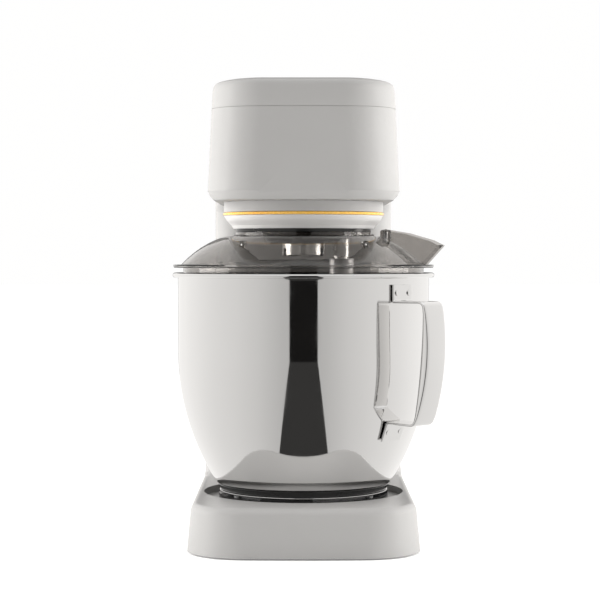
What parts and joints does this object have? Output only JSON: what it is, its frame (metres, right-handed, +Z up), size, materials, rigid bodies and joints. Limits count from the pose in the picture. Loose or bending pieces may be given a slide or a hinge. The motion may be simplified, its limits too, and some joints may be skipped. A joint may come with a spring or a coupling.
{
  "type": "tilt-head stand mixer",
  "caption": "Stand mixer with a tilting head, planetary beater, smoky pouring guard and polished bowl with a strap handle on a flared base.",
  "frame": {"origin": "on the floor under the middle of the whole mixer", "axes": "+X to the mixer's right-hand side as its front is seen, +Y to its rear, +Z up"},
  "size_m": [0.2422, 0.336, 0.4075],
  "materials": {
    "body_paint": "satin",
    "body_plastic": "satin",
    "trim_amber": "gloss",
    "polished_steel": "polished",
    "bright_steel": "satin",
    "cast_aluminium": "satin",
    "carrier_grey": "satin",
    "bronze": "satin",
    "copper_windings": "satin",
    "rubber_black": "matte",
    "plastic_black": "gloss",
    "plastic_grey": "matte",
    "board_green": "satin",
    "smoked_clear": "gloss"
  },
  "bodies": {
    "stand": {"base_housing": "body_paint", "bottom_plate": "plastic_grey", "bottom_screws": "bright_steel", "rubber_feet": "rubber_black", "bowl_seat": "plastic_black", "seat_screws": "bright_steel", "rear_cover": "body_plastic", "control_board": "board_green", "cord_gland": "rubber_black", "hinge_bracket": "cast_aluminium", "hinge_pin": "bright_steel", "pin_circlips": "bright_steel", "dial_encoder": "plastic_grey"},
    "dial": {"speed_dial": "polished_steel"},
    "bowl": {"bowl_shell": "polished_steel", "bowl_foot_ring": "plastic_black", "bowl_foot_band": "polished_steel", "bayonet_cup": "cast_aluminium", "bowl_handle": "polished_steel", "handle_rivets": "polished_steel"},
    "head": {"head_lower_shell": "body_paint", "head_top_cover": "body_plastic", "cover_screws": "bright_steel", "hub_collar": "body_plastic", "trim_ring": "trim_amber", "hub_skirt": "body_plastic", "ring_gear": "bright_steel", "gearbox_frame": "cast_aluminium", "lower_bearing": "bright_steel", "upper_bearing": "bright_steel", "hinge_bushes": "bronze", "motor_can": "cast_aluminium", "motor_stator": "copper_windings", "motor_screws": "bright_steel", "drive_belt": "rubber_black", "release_spring": "bright_steel"},
    "button": {"release_button": "polished_steel"},
    "rotor": {"motor_rotor": "bright_steel", "motor_pulley": "cast_aluminium"},
    "planetary": {"central_shaft": "bright_steel", "drive_pulley": "cast_aluminium", "planet_carrier": "carrier_grey", "central_collar": "polished_steel", "tool_bush": "bronze"},
    "tool": {"tool_shaft": "polished_steel", "tool_pinion": "bright_steel", "cross_pin": "bright_steel"},
    "beater": {"flat_beater": "cast_aluminium"},
    "guard": {"splash_guard": "smoked_clear", "guard_mount_ring": "smoked_clear", "guard_studs": "polished_steel", "guard_chute": "smoked_clear"}
  },
  "joints": [
    {"name": "head_tilt", "type": "hinge", "parent": "stand", "child": "head", "pos_m": [-0.00355, 0.128, 0.262], "axis": [-1, 0, 0], "range_deg": [0, 45]},
    {"name": "planetary_spin", "type": "hinge", "parent": "head", "child": "planetary", "pos_m": [-0.00355, -0.035, 0.27], "axis": [0, 0, 1], "continuous": true},
    {"name": "tool_spin", "type": "hinge", "parent": "planetary", "child": "tool", "pos_m": [0.03045, -0.035, 0.27], "axis": [0, 0, 1], "continuous": true},
    {"name": "motor_spin", "type": "hinge", "parent": "head", "child": "rotor", "pos_m": [-0.00355, 0.125, 0.31], "axis": [0, 0, 1], "continuous": true},
    {"name": "beater_slide", "type": "slide", "parent": "tool", "child": "beater", "axis": [0, 0, -1], "range_m": [0, 0.005]},
    {"name": "guard_twist", "type": "hinge", "parent": "head", "child": "guard", "pos_m": [-0.00355, -0.035, 0.26], "axis": [0, 0, 1], "range_deg": [0, 20]},
    {"name": "release_press", "type": "slide", "parent": "head", "child": "button", "axis": [1, 0, 0], "range_m": [0, 0.003], "stiffness_N_per_m": 400, "springref_m": -0.002, "deforming": ["release_spring"]},
    {"name": "bowl_twist", "type": "hinge", "parent": "stand", "child": "bowl", "pos_m": [-0.00355, -0.035, 0.05], "axis": [0, 0, 1], "range_deg": [0, 36]},
    {"name": "speed_turn", "type": "hinge", "parent": "stand", "child": "dial", "pos_m": [0.08645, 0.125, 0.185], "axis": [1, 0, 0], "range_deg": [0, 270]}
  ],
  "couplings": [
    {"joint": "tool_spin", "follows": "planetary_spin", "ratio": -3.4286},
    {"joint": "motor_spin", "follows": "planetary_spin", "ratio": 3.7727}
  ]
}
